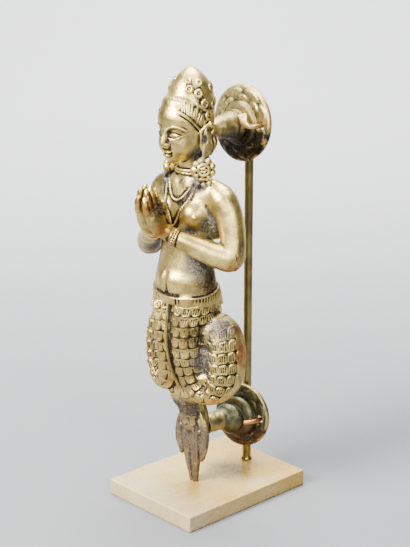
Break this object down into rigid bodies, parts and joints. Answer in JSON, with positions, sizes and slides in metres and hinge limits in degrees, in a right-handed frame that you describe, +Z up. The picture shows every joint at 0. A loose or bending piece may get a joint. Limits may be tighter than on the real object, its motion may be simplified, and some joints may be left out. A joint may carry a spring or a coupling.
{
  "type": "naga kanya figure",
  "caption": "Cast brass serpent-tailed figure with joined hands, made as a door handle, held by lotus bosses on a rod above a small clear resin plate.",
  "frame": {"origin": "middle of the plate's underside", "axes": "+Z up along the figure, the figure faces -Y, its left side is +X, the rod stands behind it on the +Y side"},
  "size_m": [0.0878, 0.1051, 0.2763],
  "materials": {
    "figure_brass": "cast, rubbed bright on high places, dark and grey-white deposits in the hollows",
    "upper_rosette_brass": "cast, olive-tan above, near black below",
    "lower_rosette_bronze": "cast, grey-green stalk, dark brown petals, worn rim",
    "rod_brass": "drawn rod, brushed and dulled",
    "hook_brass": "bent wire, worn",
    "pin_copper": "copper coloured bent wire",
    "plate_resin": "clear resin, yellowed, worn, with specks and a milky haze"
  },
  "bodies": {
    "root": {"figure": "figure_brass", "upper_rosette": "upper_rosette_brass", "lower_rosette": "lower_rosette_bronze", "rod": "rod_brass", "upper_hook": "hook_brass", "lower_pin": "pin_copper", "base_plate": "plate_resin"}
  },
  "joints": []
}
